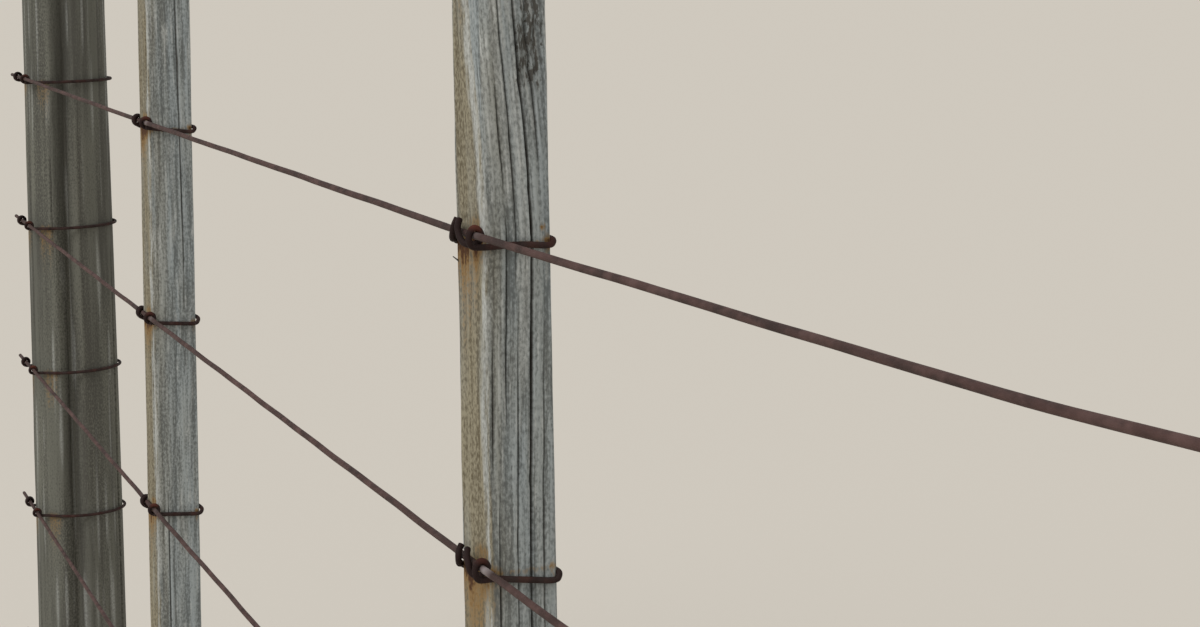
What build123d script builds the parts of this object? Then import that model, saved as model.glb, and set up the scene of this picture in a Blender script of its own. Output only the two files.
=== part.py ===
from build123d import *
from math import atan2, ceil, cos, degrees, pi, radians, sin, tan
import os

os.makedirs("parts", exist_ok=True)

# A plain wire farm fence: six bays between two round posts, with a sawn dropper at each
# bay line and six line wires, each tied on with a short wire at every upright.
# X runs along the fence, the wires are on the -Y side, Z = 0 is the ground, and the
# origin is the middle of post_a's foot.

# Bays and wires
bay_length = 1000.0
bay_count = 6
wire_count = 6

# Droppers: sawn battens that hang on the wires, clear of the ground, with a tail below the
# lowest wire and a head above the highest
dropper_width = 32.0
dropper_depth = 40.0
dropper_length = 1055.0
dropper_foot = 108.0
dropper_tail = 126.0
dropper_head = 59.0
dropper_arris = 2.2
dropper_top_slope = 7.0

# Posts: round, a little thinner at the top, with a sloping top that sheds rain and stands a
# little above the droppers
post_foot_radius = 55.0
post_top_radius = 49.0
post_head = 47.0
post_top_slope = 12.0
post_sides = 16

# Wires
wire_diameter = 4.0
wire_sides = 12
groove_sides = 8
wire_stub = 38.0
tie_diameter = 3.55
tie_sides = 5

# Fits: how far a wire lies from what it rests on, and how deep it has worn into a dropper
seat_gap = 0.2
wire_bite = 2.2

# Ties: turns round the line wire, each bent in a few corners and slanting a little along
# the fence, and a loop that drops as it runs back and climbs as it crosses the back
near_turns = 1.0
far_turns = 2.0
turn_gap = 0.7
turn_slant = 1.1
turn_corners = 6
leg_drop = 4.0
back_rise = 3.5
post_loop_start = 36.0
post_loop_step = 30.0

# Drying checks in the droppers: long cracks up the grain, each as the face it is in, how
# far off that face's middle it lies, and the shares of the dropper's length at which its
# middle is and that it runs for
check_width = 1.8
check_depth = 6.0
dropper_checks = [
    ("+X", -4.5, 0.68, 0.57),
    ("+X", 4.0, 0.24, 0.4),
    ("+X", 9.5, 0.61, 0.51),
    ("-X", -7.0, 0.46, 0.49),
    ("-X", 4.0, 0.75, 0.36),
    ("+Y", 2.0, 0.53, 0.57),
]

# Drying checks in the posts: each as its bearing from the fence's own line, the same two
# shares of the post's height, its width at the mouth and its depth; the ends close up
post_checks = [
    (-14.0, 0.53, 0.87, 30.0, 20.0),
    (58.0, 0.35, 0.51, 6.0, 20.0),
    (118.0, 0.63, 0.58, 7.0, 24.0),
]
check_closing = 0.6

# Worked out from the sizes above
wire_radius = wire_diameter / 2
tie_radius = tie_diameter / 2
fence_length = bay_length * bay_count
front_y = -post_foot_radius
wire_y = front_y - seat_gap - wire_radius
tie_stand_off = tie_radius + seat_gap
turn_radius = wire_radius + seat_gap + tie_radius
turn_corner_radius = turn_radius / cos(pi / turn_corners)
turn_pitch = tie_diameter + turn_gap
half_width = dropper_width / 2
half_depth = dropper_depth / 2
post_height = dropper_foot + dropper_length + post_head
lowest_wire = dropper_foot + dropper_tail
wire_step = (dropper_length - dropper_tail - dropper_head) / (wire_count - 1)
wire_levels = [lowest_wire + wire_step * row for row in range(wire_count)]
middle_level = lowest_wire + wire_step * (wire_count - 1) / 2


class Upright:
    """A post or dropper. Its place is along the fence at the middle of the wires; lean is
    along the fence and turn is about its own length, both in degrees; rise is how much
    higher the wires run there; strays is what single wires, counted from the lowest, add
    to that; and facing is the way its broadest check looks."""

    def __init__(self, name, place, lean=0.0, turn=0.0, rise=0.0, strays=None, facing=1):
        self.name = name
        self.place = place
        self.lean = lean
        self.turn = turn
        self.rise = rise
        self.strays = strays or {}
        self.facing = facing

    def x_at(self, height):
        return self.place + (height - middle_level) * tan(radians(self.lean))

    def wire_at(self, level):
        """How high the wire of one level runs where it crosses."""
        return level + self.rise + self.strays.get(wire_levels.index(level), 0.0)


# The droppers have slid a little along the wires from their even places
post_a = Upright("post_a", 0.0, rise=1.0)
post_b = Upright("post_b", fence_length, facing=-1)
droppers = [
    Upright("dropper_1", bay_length - 129.0, lean=0.2, turn=6.0, rise=-1.0),
    Upright("dropper_2", 2 * bay_length - 83.0, lean=-3.1, turn=12.0, rise=-0.5, strays={3: -1.0}),
    Upright("dropper_3", 3 * bay_length - 24.0, lean=1.2, turn=-4.0, rise=13.0, strays={3: -8.0}),
    Upright("dropper_4", 4 * bay_length + 31.0, lean=-0.8, turn=5.0, rise=5.0),
    Upright("dropper_5", 5 * bay_length - 12.0, lean=0.5, turn=-2.0, rise=9.0),
]
posts = [post_a, post_b]
uprights = [post_a, *droppers, post_b]


def post_radius(height):
    """A post tapers evenly from foot to top."""
    return post_foot_radius + (post_top_radius - post_foot_radius) * height / post_height


def post_middle_y(height):
    """The front of a post is plumb, so its middle moves forward as it gets thinner."""
    return front_y + post_radius(height)


def dropper_middle_y(dropper):
    """A turned dropper meets the wires with one corner, which they have worn into."""
    turned = radians(abs(dropper.turn))
    reach = half_width * sin(turned) + half_depth * cos(turned)
    return wire_y + wire_radius + seat_gap - wire_bite + reach


def dropper_base(dropper):
    """The plane of a dropper's foot: turned about its length, then leaning along the fence."""
    grain = Vector(tan(radians(dropper.lean)), 0, 1).normalized()
    across = Vector(cos(radians(dropper.turn)), sin(radians(dropper.turn)), 0)
    across = (across - grain * across.dot(grain)).normalized()
    foot = Vector(dropper.x_at(dropper_foot), dropper_middle_y(dropper), dropper_foot)
    return Plane(origin=foot, x_dir=across, z_dir=grain)


def dropper_face(base, facing):
    """The plane of one face of a dropper, its x across the face and its y up the grain."""
    outward, half = {
        "+X": (base.x_dir, half_width),
        "-X": (-base.x_dir, half_width),
        "+Y": (base.y_dir, half_depth),
    }[facing]
    face_x = base.z_dir.cross(outward)
    return Plane(origin=base.origin + outward * half, x_dir=face_x, z_dir=outward)


def wire_points(level):
    """Where a wire crosses each upright, with a stub past the tie on each end post."""
    crossings = [(upright.x_at(level), upright.wire_at(level)) for upright in uprights]
    reach = post_foot_radius + wire_stub
    first = (crossings[0][0] - reach, crossings[0][1])
    last = (crossings[-1][0] + reach, crossings[-1][1])
    return [first, *crossings, last]


def wire_height(level, x):
    """The height of a line wire at x, on its straight runs."""
    points = wire_points(level)
    for (x0, z0), (x1, z1) in zip(points, points[1:]):
        if x <= x1:
            return z0 + (z1 - z0) * (x - x0) / (x1 - x0)
    return points[-1][1]


def spindle(width, length):
    """A check's outline: a long thin spindle, widest at its middle."""
    Polygon((0, -length / 2), (width / 2, 0), (0, length / 2), (-width / 2, 0), align=None)


def post_check_plane(post, bearing, height):
    """A level plane at a post's middle, its x towards the check."""
    way = Vector(post.facing, 0, 0).rotate(Axis.Z, post.facing * bearing)
    return Plane(origin=(post.place, post_middle_y(height), height), x_dir=way, z_dir=(0, 0, 1))


def wedge(surface, width, depth):
    """A level cut through a check: from well outside the post's surface in to its depth."""
    reach = width / 2
    flare = width / 2 * (depth + reach) / depth
    corners = [(surface - depth, 0), (surface + reach, -flare), (surface + reach, flare)]
    Polygon(*corners, align=None)


def turns_round_wire(level, x_start, direction, turns):
    """Corners of a tie's turns round the line wire: from under it, up its front, over the
    top and down behind it, while it moves along the wire by one pitch a turn."""
    corners = []
    for step in range(round(turns * turn_corners) + 1):
        angle = step * 2 * pi / turn_corners
        x = x_start + direction * turn_pitch * step / turn_corners + turn_slant * sin(angle)
        y = wire_y - turn_corner_radius * sin(angle)
        z = wire_height(level, x) - turn_corner_radius * cos(angle)
        corners.append(Vector(x, y, z))
    return corners


def dropper_loop(dropper, level):
    """A tie's loop behind a dropper: dropping along both sides, and across the back a little
    higher again, with its corners cut off as far as the eased arrises allow."""
    z = dropper.wire_at(level) - turn_corner_radius
    middle = Vector(dropper.x_at(z), dropper_middle_y(dropper), z)
    side = half_width + tie_stand_off
    back = half_depth + tie_stand_off
    cut = dropper_arris - tie_stand_off * (1 / cos(pi / 4) - 1)
    half_loop = [
        (side, wire_radius - half_depth, 0),
        (side, half_depth - cut, -leg_drop),
        (half_width - cut, back, back_rise - leg_drop),
    ]
    loop = [(-x, y, up) for x, y, up in half_loop] + half_loop[::-1]
    return [middle + Vector(x, y, up).rotate(Axis.Z, dropper.turn) for x, y, up in loop]


def post_loop(post, level):
    """A tie's loop round a post, as a many-sided arc that stands clear of the round."""
    z = post.wire_at(level) - turn_corner_radius
    sides = ceil((360 - 2 * post_loop_start) / post_loop_step)
    step = (360 - 2 * post_loop_start) / sides
    reach = (post_radius(z) + tie_stand_off) / cos(radians(step / 2))
    middle = Vector(post.place, post_middle_y(z), z)
    bearings = [radians(post_loop_start + step * corner) for corner in range(sides + 1)]
    climb = back_rise / 2
    return [
        middle + Vector(-reach * sin(way), -reach * cos(way), climb * (1 - cos(way)))
        for way in bearings
    ]


def tie_path(upright, level):
    """The far turns, the loop behind the upright, then the near turns."""
    if upright in posts:
        loop = post_loop(upright, level)
    else:
        loop = dropper_loop(upright, level)
    far = turns_round_wire(level, loop[0].X, -1, far_turns)
    near = turns_round_wire(level, loop[-1].X, 1, near_turns)
    return [*reversed(far), *loop, *near]


def write(piece, name):
    """Labels a finished piece and writes it under the same name."""
    piece.label = name
    export_step(piece, f"parts/{name}.step")


# Posts: a tapered many-sided round with a plumb front, its top cut to a slope, and drying
# checks that close up towards their ends
sides_move_in = (post_foot_radius - post_top_radius) * cos(pi / post_sides)
post_taper = degrees(atan2(sides_move_in, post_height))
for post in posts:
    axis = Vector(0, (post_top_radius - post_foot_radius) / post_height, 1)
    below_ground = Plane(origin=Vector(post.place, 0, 0) - axis, z_dir=axis)
    high_edge = (post.place, front_y + 2 * post_top_radius, post_height)
    top = Plane(origin=high_edge, z_dir=(0, 0, 1))
    with BuildPart() as post_part:
        with BuildSketch(below_ground):
            RegularPolygon(post_radius(-1), post_sides)
        extrude(amount=post_height + 2, taper=post_taper)
        split(bisect_by=Plane.XY, keep=Keep.TOP)
        split(bisect_by=top.rotated((post_top_slope, 0, 0)), keep=Keep.BOTTOM)
        for bearing, middle_share, length_share, width, depth in post_checks:
            middle = middle_share * post_height
            half_length = length_share * post_height / 2
            closing = degrees(atan2(check_closing * width / 2, half_length))
            with BuildSketch(post_check_plane(post, bearing, middle)):
                wedge(post_radius(middle), width, depth)
            extrude(amount=half_length, both=True, taper=closing, mode=Mode.SUBTRACT)
    write(post_part.part, post.name)

# Droppers: a sawn batten with eased arrises and a sloping top, checks up its faces, and a
# groove that each wire has worn in its front corner
for dropper in droppers:
    base = dropper_base(dropper)
    with BuildPart() as dropper_part:
        with BuildSketch(base) as section:
            Rectangle(dropper_width, dropper_depth)
            chamfer(section.vertices(), dropper_arris)
        extrude(amount=dropper_length)
        slope = base.offset(dropper_length - half_depth * tan(radians(dropper_top_slope)))
        split(bisect_by=slope.rotated((dropper_top_slope, 0, 0)), keep=Keep.BOTTOM)
        for facing, offset, middle_share, length_share in dropper_checks:
            with BuildSketch(dropper_face(base, facing)):
                with Locations((offset, middle_share * dropper_length)):
                    spindle(check_width, length_share * dropper_length)
            extrude(amount=-check_depth, mode=Mode.SUBTRACT)
        for level in wire_levels:
            groove_start = (dropper.x_at(level) - dropper_width, wire_y, dropper.wire_at(level))
            with BuildSketch(Plane(origin=groove_start, x_dir=(0, 1, 0), z_dir=(1, 0, 0))):
                RegularPolygon(wire_radius + seat_gap, groove_sides, major_radius=False)
            extrude(amount=2 * dropper_width, mode=Mode.SUBTRACT)
    write(dropper_part.part, dropper.name)

# Line wires: straight runs from upright to upright, bent a little where they are tied
for row, level in enumerate(wire_levels, start=1):
    with BuildPart() as wire_part:
        with BuildLine() as route:
            Polyline(*[(x, wire_y, z) for x, z in wire_points(level)])
        with BuildSketch(Plane(origin=route.line @ 0, z_dir=route.line % 0)):
            RegularPolygon(wire_radius, wire_sides)
        sweep(transition=Transition.RIGHT)
    write(wire_part.part, f"line_wire_{row}")

# Ties: at each upright one to a wire, of many-sided wire bent in short straight runs
for upright in uprights:
    ties = []
    for level in wire_levels:
        with BuildPart() as tie:
            with BuildLine() as route:
                Polyline(*tie_path(upright, level))
            with BuildSketch(Plane(origin=route.line @ 0, z_dir=route.line % 0)):
                RegularPolygon(tie_radius, tie_sides)
            sweep(transition=Transition.RIGHT)
        ties.append(tie.part.solid())
    write(Compound(ties), f"ties_{upright.name}")
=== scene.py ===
# %% [markdown]
# # An old farm fence, dressed for a close look
# The fence has round posts, thin sawn droppers that hang on six rusty wires, and short tie
# wires that hold each dropper to each wire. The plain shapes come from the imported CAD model.
# Here each piece gets the surface that the weather has given it: ridged grain, drying
# checks, waned edges, worn grooves and rust that has run down the wood.
#
# Every surface below is a grid of points worked out with numpy from a formula, because old
# timber and bent wire are easier to describe by rules than to push about by hand.

import bpy
import numpy as np
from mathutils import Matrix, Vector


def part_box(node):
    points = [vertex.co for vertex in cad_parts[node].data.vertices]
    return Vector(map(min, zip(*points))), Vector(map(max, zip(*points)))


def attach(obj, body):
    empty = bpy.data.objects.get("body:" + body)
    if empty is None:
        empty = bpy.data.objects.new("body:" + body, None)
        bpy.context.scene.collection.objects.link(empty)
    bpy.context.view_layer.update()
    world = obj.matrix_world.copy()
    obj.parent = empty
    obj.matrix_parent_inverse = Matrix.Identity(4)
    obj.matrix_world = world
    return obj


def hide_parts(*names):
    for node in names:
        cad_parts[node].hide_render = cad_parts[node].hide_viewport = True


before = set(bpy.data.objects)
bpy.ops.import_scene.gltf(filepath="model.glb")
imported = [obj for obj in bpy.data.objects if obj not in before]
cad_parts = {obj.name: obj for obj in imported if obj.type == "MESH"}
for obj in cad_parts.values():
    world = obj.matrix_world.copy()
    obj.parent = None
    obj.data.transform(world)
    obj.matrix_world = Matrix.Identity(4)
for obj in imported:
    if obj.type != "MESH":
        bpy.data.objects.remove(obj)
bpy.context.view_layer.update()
MILLIMETRE = 0.001

# %% [markdown]
# ## Measuring what is already there
# Each new piece stands exactly where its CAD node is. Rather than copy numbers, the script
# measures the nodes. A dropper is a box that leans and turns: the directions of its four
# sides, weighted by their area, repeat every quarter turn, so four times their angle points
# one way, and a quarter of that is the dropper's own turn.

# %% Measure the droppers


def unit(vectors):
    """Each vector along the last axis, scaled to length one."""
    return vectors / np.linalg.norm(vectors, axis=-1, keepdims=True)


def node_triangles(node):
    """Corner points of a node's triangles, as an array of triangles by 3 corners by 3."""
    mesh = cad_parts[node].data
    mesh.calc_loop_triangles()
    points = np.empty(len(mesh.vertices) * 3, np.float32)
    mesh.vertices.foreach_get("co", points)
    corners = np.empty(len(mesh.loop_triangles) * 3, np.int32)
    mesh.loop_triangles.foreach_get("vertices", corners)
    return points.reshape(-1, 3).astype(float)[corners.reshape(-1, 3)]


def measure_dropper(node):
    """Foot, axes and size: the grain is square to the flat foot, and the turn about it is a
    quarter of the angle of the sum of area times e to the power of 4 i times side angle."""
    triangles = node_triangles(node)
    first, second, third = triangles.transpose(1, 0, 2)
    normals = np.cross(second - first, third - first)
    area = np.linalg.norm(normals, axis=1)
    normals = normals / np.maximum(area, 1e-12)[:, None]
    foot_faces = normals[:, 2] < -0.95
    grain = unit(-(normals * area[:, None])[foot_faces].sum(0))
    sides = np.abs(normals @ grain) < 0.05
    angles = np.arctan2(normals[sides, 1], normals[sides, 0])
    turn = np.angle((area[sides] * np.exp(4j * angles)).sum()) / 4
    across = np.array([np.cos(turn), np.sin(turn), 0.0])
    across = unit(across - grain * (across @ grain))
    axes = np.array([across, np.cross(grain, across), grain])
    reach = triangles.reshape(-1, 3) @ axes.T
    low, high = reach.min(0), reach.max(0)
    return {
        "foot": np.append((low + high)[:2] / 2, low[2]) @ axes,
        "axes": axes,
        "half_width": (high[0] - low[0]) / 2,
        "half_depth": (high[1] - low[1]) / 2,
        "length": high[2] - low[2],
        "turn": turn,
    }


droppers = {f"dropper_{n}": measure_dropper(f"dropper_{n}") for n in range(1, 6)}
for name, size in droppers.items():
    width, depth = 2 * size["half_width"] / MILLIMETRE, 2 * size["half_depth"] / MILLIMETRE
    print(f"{name}: {width:.1f} by {depth:.1f} mm, turned {np.degrees(size['turn']):.1f} degrees")

# %% Measure the posts and the line wires


def measure_post(node):
    """Middle, and the radius at foot and top: half the width of the lowest and of the
    highest points."""
    points = node_triangles(node).reshape(-1, 3)
    low, high = (np.array(corner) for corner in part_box(node))
    foot = points[points[:, 2] < low[2] + 0.1 * MILLIMETRE]
    rim = points[points[:, 2] > high[2] - 30 * MILLIMETRE]
    return {
        "x": (low[0] + high[0]) / 2,
        "front": low[1],
        "height": high[2],
        "foot_radius": np.ptp(foot[:, 0]) / 2,
        "top_radius": np.ptp(rim[:, 0]) / 2,
    }


def measure_wire(node):
    """The wire's bends: its points fall into clusters along the fence, one for each bend,
    and the middle of a cluster is on the wire's line."""
    points = np.unique(np.round(node_triangles(node).reshape(-1, 3), 6), axis=0)
    points = points[np.argsort(points[:, 0])]
    breaks = np.flatnonzero(np.diff(points[:, 0]) > 20 * MILLIMETRE) + 1
    return np.array([cluster.mean(0) for cluster in np.split(points, breaks)])


def wire_height(line, x):
    """Height of a line wire at x, straight between its bends."""
    return np.interp(x, line[:, 0], line[:, 2])


posts = {name: measure_post(name) for name in ("post_a", "post_b")}
wires = {f"line_wire_{n}": measure_wire(f"line_wire_{n}") for n in range(1, 7)}
wire_y = float(np.mean([line[:, 1].mean() for line in wires.values()]))
print("posts:", {k: {m: round(float(v), 4) for m, v in p.items()} for k, p in posts.items()})
print("wires: bends in each", [len(line) for line in wires.values()], "at y", round(wire_y, 4))

# %% [markdown]
# ## The grain's noise
# Weathered wood is rough in one direction. A lattice of random heights that is narrow
# across the grain and long along it, eased smoothly from point to point, gives ridges.
# The lattice wraps round the timber, so no seam shows.

# %% Smooth noise that wraps round a timber


def grain_noise(around, along, wide, tall, wrap, seed):
    """Between four lattice heights a, b, c and d: ease(x) = 3x^2 - 2x^3 mixes a with b and
    c with d across the grain, and then the two along it. Values run from -1 to 1."""
    rng = np.random.default_rng(seed)
    cells = max(int(round(wrap / wide)), 3)
    start = along.min()
    rows = int(np.ceil((along.max() - start) / tall)) + 3
    lattice = rng.uniform(-1, 1, (cells, rows))
    a = around / wrap * cells
    b = (along - start) / tall
    i, j = np.floor(a).astype(int), np.floor(b).astype(int)
    fa, fb = a - i, b - j
    fa, fb = fa * fa * (3 - 2 * fa), fb * fb * (3 - 2 * fb)
    left, right = i % cells, (i + 1) % cells
    low = lattice[left, j] * (1 - fa) + lattice[right, j] * fa
    high = lattice[left, j + 1] * (1 - fa) + lattice[right, j + 1] * fa
    return low * (1 - fb) + high * fb


def ease_step(value, low, high):
    """0 below low, 1 above high, 3t^2 - 2t^3 between."""
    t = np.clip((value - low) / (high - low), 0, 1)
    return t * t * (3 - 2 * t)


def bell(away, half_width, power=2):
    """exp(-(away / half width) ^ power): the higher the power, the flatter its top."""
    return np.exp(-((away / half_width) ** power))


probe = grain_noise(np.linspace(0, 0.14, 9), np.linspace(0, 1, 9), 0.003, 0.1, 0.144, 5)
print("grain noise, nine samples:", np.round(probe, 2))

# %% [markdown]
# ## Drying checks
# As timber dries it splits along the grain. Each check is a line up the grain with a place
# round the timber, a lowest and a highest point, a width and a depth. Its section is a
# steep-sided V, and it closes towards both ends. In front of the eye these dark lines say
# "old wood" more than any colour does.

# %% Depth of all the checks at every point


def distance_round(around, place, wrap):
    """The shorter way round a timber from a place to each point."""
    return np.abs((around - place + wrap / 2) % wrap - wrap / 2)


def check_depth(around, along, wrap, checks):
    """The deepest of all checks: depth times (1 - distance / half width) to the power 0.6,
    where width and depth shrink to the ends as the root of 4 t (1 - t)."""
    depth = np.zeros(np.broadcast(around, along).shape)
    for place, low, high, width, deep in checks:
        t = np.clip((along - low) / (high - low), 0, 1)
        open_share = np.sqrt(np.clip(4 * t * (1 - t), 0, 1))
        half = np.maximum(width / 2 * open_share, 1e-6)
        away = distance_round(around, place, wrap)
        depth = np.maximum(depth, deep * open_share * np.clip(1 - away / half, 0, 1) ** 0.6)
    return depth


probe = check_depth(np.array([0, 0.0004]), 0.5, 0.1, [(0, 0, 1, 0.001, 0.005)])
print("one check, at its middle and near its edge:", np.round(probe, 4))

# %% [markdown]
# ## Rows where they are needed
# A dropper is a metre long, but its finest detail is at the wires, where the grooves are
# only 4 mm wide. The rows of the grid are packed close there and spread out between.

# %% Spacing of rows and columns


def packed(start, end, count, places, reach, gain, samples=4000):
    """count values from start to end. The density is 1 + gain times a bell of that reach at
    each place, and equal shares of its running total give the values."""
    fine = np.linspace(start, end, samples)
    density = np.ones_like(fine)
    for place in places:
        density += gain * bell(fine - place, reach)
    total = np.concatenate([[0], np.cumsum((density[1:] + density[:-1]) / 2)])
    return np.interp(np.linspace(0, total[-1], count), total, fine)


print("seven rows packed round 0.5:", np.round(packed(0, 1, 7, [0.5], 0.1, 9), 2))

# %% [markdown]
# ## From a grid of points to a closed mesh
# A skin is a grid: rows up the piece and columns round it. Each end is closed by a fan to
# its middle point. foreach_set hands whole arrays to Blender at once.

# %% Build a mesh from skins


def quad_corners(grid, beside):
    """A grid's values at the four corners of each quad, in one row."""
    return np.stack([grid[:-1], beside[:-1], beside[1:], grid[1:]], axis=-1).ravel()


def add_grain_map(mesh, around, along):
    """A UV map in metres, round and along the grain. The last column runs on past the seam."""
    right = np.roll(around, -1, axis=1)
    right[:, -1] = around[:, -1] + (around[:, 1] - around[:, 0])
    fan = np.stack([around[0], right[0], around[0]], axis=-1).ravel()
    u = [quad_corners(around, right), fan, fan]
    v = [quad_corners(along, np.roll(along, -1, axis=1)), np.repeat(along[0], 3), np.repeat(along[-1], 3)]
    uv = np.stack([np.concatenate(u), np.concatenate(v)], axis=-1)
    mesh.uv_layers.new(name="grain").data.foreach_set("uv", uv.ravel().astype(np.float32))


def skin_mesh(name, skins, grain=None, marks=None):
    """In each skin quads join ring r, column c to the next ring and the next column, and a
    fan of triangles closes each end. grain gives one skin a UV map in metres, and marks give
    a value for every point, ends last."""
    points, corners, sizes, shift = [], [], [], 0
    for rings in skins:
        rows, columns = rings.shape[:2]
        ids = shift + np.arange(rows * columns).reshape(rows, columns)
        beside = np.roll(ids, -1, axis=1)
        foot, top = np.full(columns, ids[-1, -1] + 1), np.full(columns, ids[-1, -1] + 2)
        foot_fan = np.stack([foot, beside[0], ids[0]], axis=-1)
        top_fan = np.stack([top, ids[-1], beside[-1]], axis=-1)
        points += [rings.reshape(-1, 3), rings[:1].mean(1), rings[-1:].mean(1)]
        corners += [quad_corners(ids, beside), foot_fan.ravel(), top_fan.ravel()]
        sizes.append(np.repeat([4, 3], [(rows - 1) * columns, 2 * columns]))
        shift += rows * columns + 2
    sizes = np.concatenate(sizes)
    mesh = bpy.data.meshes.new(name)
    points = np.concatenate(points)
    mesh.vertices.add(len(points))
    mesh.vertices.foreach_set("co", points.astype(np.float32).ravel())
    corners = np.concatenate(corners)
    mesh.loops.add(len(corners))
    mesh.loops.foreach_set("vertex_index", corners.astype(np.int32))
    mesh.polygons.add(len(sizes))
    mesh.polygons.foreach_set("loop_start", (np.cumsum(sizes) - sizes).astype(np.int32))
    mesh.update(calc_edges=True)
    mesh.validate()
    mesh.polygons.foreach_set("use_smooth", np.ones(len(sizes), bool))
    if grain is not None:
        add_grain_map(mesh, *grain)
    for label, values in (marks or {}).items():
        attribute = mesh.attributes.new(label, "FLOAT", "POINT")
        attribute.data.foreach_set("value", values.astype(np.float32))
    return mesh


def with_ends(values):
    """The values of a grid in one row, then their means on its first and last ring."""
    return np.append(values, [values[0].mean(), values[-1].mean()])


def add_object(name, data):
    """A new object in the scene."""
    added = bpy.data.objects.new(name, data)
    bpy.context.scene.collection.objects.link(added)
    return added


def place_piece(name, mesh, node, material):
    """Puts a finished mesh in the scene in its CAD node's place."""
    piece = add_object(name, mesh)
    mesh.materials.append(material)
    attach(piece, "root")
    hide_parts(node)
    print(name, len(mesh.polygons), "faces")


# %% [markdown]
# ## Colours
# A colour is written as it looks in the finished picture, from 0 to 255, and turned into
# the linear light values that the shader wants.

# %% Paint values


def paint(red, green, blue):
    """Display value to linear light: ((v + 0.055) / 1.055) ^ 2.4 above 0.04."""
    shown = np.array([red, green, blue]) / 255
    light = np.where(shown > 0.04045, ((shown + 0.055) / 1.055) ** 2.4, shown / 12.92)
    return (*light.tolist(), 1.0)


WOOD_GREY = paint(153, 160, 161)
WOOD_GREY_DARK = paint(100, 105, 105)
WOOD_SILVER_AND_HIGHLIGHT = paint(184, 186, 182)
WOOD_TAN = paint(145, 138, 118)
WOOD_TAN_DARK = paint(98, 90, 72)
SHADE_AND_DARK_WOOD = paint(62, 57, 50)
STAIN_ORANGE = paint(136, 109, 70)
STAIN_DEEP_AND_SHADOW = paint(76, 50, 31)
POST_GREY = paint(96, 96, 88)
POST_DARK = paint(76, 75, 69)
POST_PALE = paint(110, 110, 100)
WIRE_BROWN = paint(78, 56, 52)
WIRE_DARK = paint(54, 40, 37)
WIRE_WORN = paint(104, 79, 75)
BARE_STEEL_AND_HIGHLIGHT = paint(186, 178, 178)
TIE_BROWN = paint(48, 36, 33)
TIE_DARK = paint(30, 14, 12)
TIE_RED = paint(100, 50, 36)
FLOOR_PALE = paint(214, 208, 198)
print("grey wood in linear light:", [round(v, 3) for v in WOOD_GREY])

# %% [markdown]
# ## Shared effects as node groups
# Droppers and posts share streaks of grain, and wires and ties share mottled rust. Each is a
# node group with named inputs, used in each material with that material's own values. A
# node's output is wrapped so that plain +, - and * add the Math nodes.

# %% Helpers for nodes


class Value:
    """A node's output that joins others, or numbers, by +, - and *."""

    def __init__(self, socket):
        self.socket = socket
        self.tree = socket.id_data

    def joined(self, operation, other):
        inputs = {0: self, 1: other}
        return Value(new_node(self.tree, "ShaderNodeMath", inputs, operation=operation).outputs[0])

    def __add__(self, other):
        return self.joined("ADD", other)

    def __sub__(self, other):
        return self.joined("SUBTRACT", other)

    def __mul__(self, other):
        return self.joined("MULTIPLY", other)


def feed(node, inputs):
    """Links each input to a Value, or sets it to a plain value."""
    for label, value in inputs.items():
        if isinstance(value, Value):
            node.id_data.links.new(value.socket, node.inputs[label])
        else:
            node.inputs[label].default_value = value
    return node


def new_node(tree, kind, inputs, **settings):
    """A node with its settings made and its inputs fed."""
    node = tree.nodes.new(kind)
    for label, value in settings.items():
        setattr(node, label, value)
    return feed(node, inputs)


def mix_colour(share, first, second):
    """A colour from first to second by share."""
    inputs = {0: share, 6: first, 7: second}
    node = new_node(share.tree, "ShaderNodeMix", inputs, data_type="RGBA", clamp_factor=True)
    return Value(node.outputs[2])


def ramp(value, low, high):
    """0 below low, 1 above high and smooth between."""
    inputs = {"Value": value, "From Min": low, "From Max": high}
    node = new_node(value.tree, "ShaderNodeMapRange", inputs, interpolation_type="SMOOTHSTEP")
    return Value(node.outputs["Result"])


def noise(vector, stretch, detail, roughness):
    """A Noise texture read at the vector with its three parts multiplied by stretch."""
    stretched = new_node(vector.tree, "ShaderNodeVectorMath", {0: vector, 1: stretch}, operation="MULTIPLY")
    inputs = {"Vector": Value(stretched.outputs[0]), "Scale": 1.0, "Detail": detail, "Roughness": roughness}
    return Value(new_node(vector.tree, "ShaderNodeTexNoise", inputs).outputs["Fac"])


def attribute(tree, name):
    """The value of a piece's own attribute."""
    return Value(new_node(tree, "ShaderNodeAttribute", {}, attribute_name=name).outputs["Fac"])


def new_group(name, inputs, outputs):
    """An empty shader group and its inputs as Values. The plain value of an input gives its
    kind, a number or a colour, and None stands for a vector."""
    group = bpy.data.node_groups.new(name, "ShaderNodeTree")
    kinds = {float: "NodeSocketFloat", tuple: "NodeSocketColor", type(None): "NodeSocketVector"}
    for label, value in inputs.items():
        socket = group.interface.new_socket(label, in_out="INPUT", socket_type=kinds[type(value)])
        if value is not None:
            socket.default_value = value
    for label, kind in outputs.items():
        group.interface.new_socket(label, in_out="OUTPUT", socket_type=kind)
    source = group.nodes.new("NodeGroupInput")
    return group, {label: Value(source.outputs[label]) for label in inputs}


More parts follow.
